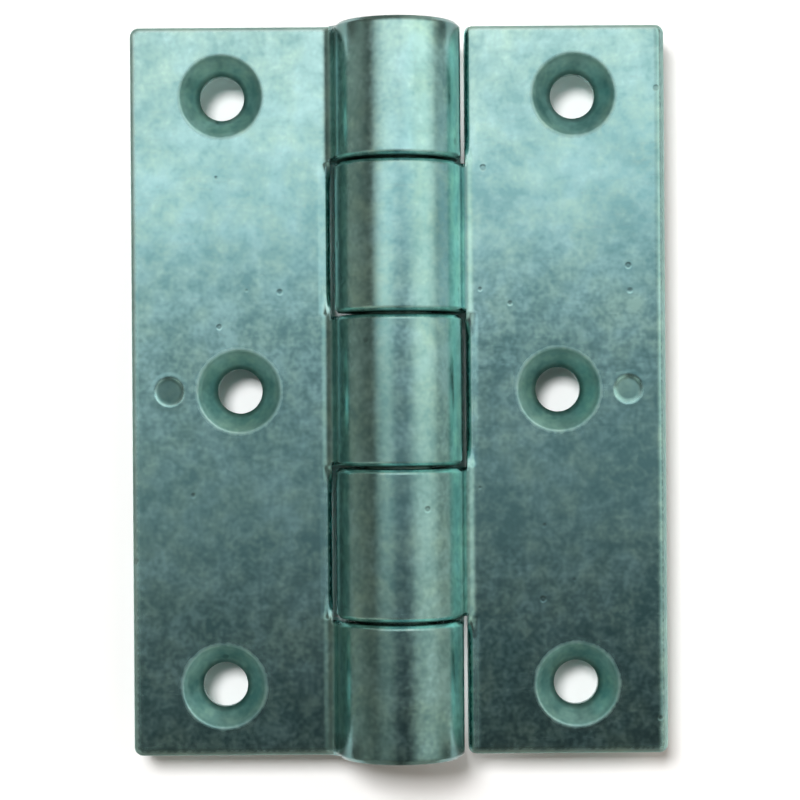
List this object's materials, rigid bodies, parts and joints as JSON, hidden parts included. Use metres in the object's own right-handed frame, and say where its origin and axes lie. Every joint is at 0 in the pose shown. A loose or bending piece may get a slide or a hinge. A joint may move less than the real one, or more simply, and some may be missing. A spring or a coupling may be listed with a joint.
{
  "type": "butt hinge",
  "caption": "Pressed steel butt hinge with flat leaves, countersunk screw holes and interleaved rolled knuckles turning on a fixed pin.",
  "frame": {"origin": "middle of the pin's axis, which is also the centre of the open hinge's box", "axes": "+Z along the pin; +X from the pin across the turning leaf; +Y out of the backs of the leaves, so the countersunk faces look towards -Y"},
  "size_m": [0.055, 0.013, 0.075],
  "materials": {
    "zinc_leaf": "pressed steel sheet, bright zinc plated with a blue-green passivate, satin with fine speckle",
    "zinc_pin": "drawn steel rod, zinc plated"
  },
  "bodies": {
    "fixed_leaf": {"three_knuckle_leaf": "zinc_leaf", "hinge_pin": "zinc_pin"},
    "swing_leaf": {"two_knuckle_leaf": "zinc_leaf"}
  },
  "joints": [
    {"name": "leaf_swing", "type": "hinge", "parent": "fixed_leaf", "child": "swing_leaf", "pos_m": [0, 0, 0], "axis": [0, 0, 1], "range_deg": [-180, 125]}
  ]
}
